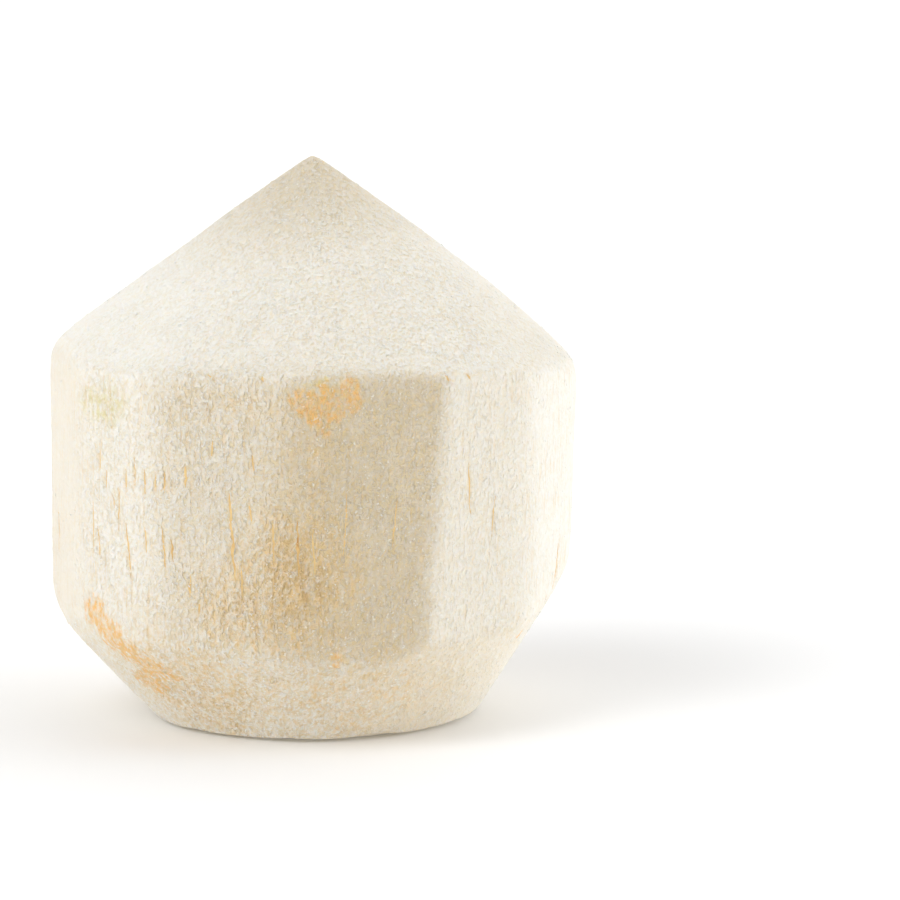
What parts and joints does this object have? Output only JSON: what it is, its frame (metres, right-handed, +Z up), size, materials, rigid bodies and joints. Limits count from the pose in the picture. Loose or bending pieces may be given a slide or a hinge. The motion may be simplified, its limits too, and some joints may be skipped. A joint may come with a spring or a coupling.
{
  "type": "young coconut",
  "caption": "Whole young coconut peeled to its white husk, pared into a peaked drum with a slanted heel and a flat base to stand on.",
  "frame": {"origin": "in the flat base, under the peak", "axes": "+Z up through the peak, -Y towards the broad front face, +X to the right of it"},
  "size_m": [0.1308, 0.1265, 0.1385],
  "materials": {
    "husk": "matte"
  },
  "bodies": {
    "root": {"coconut": "husk"}
  },
  "joints": []
}
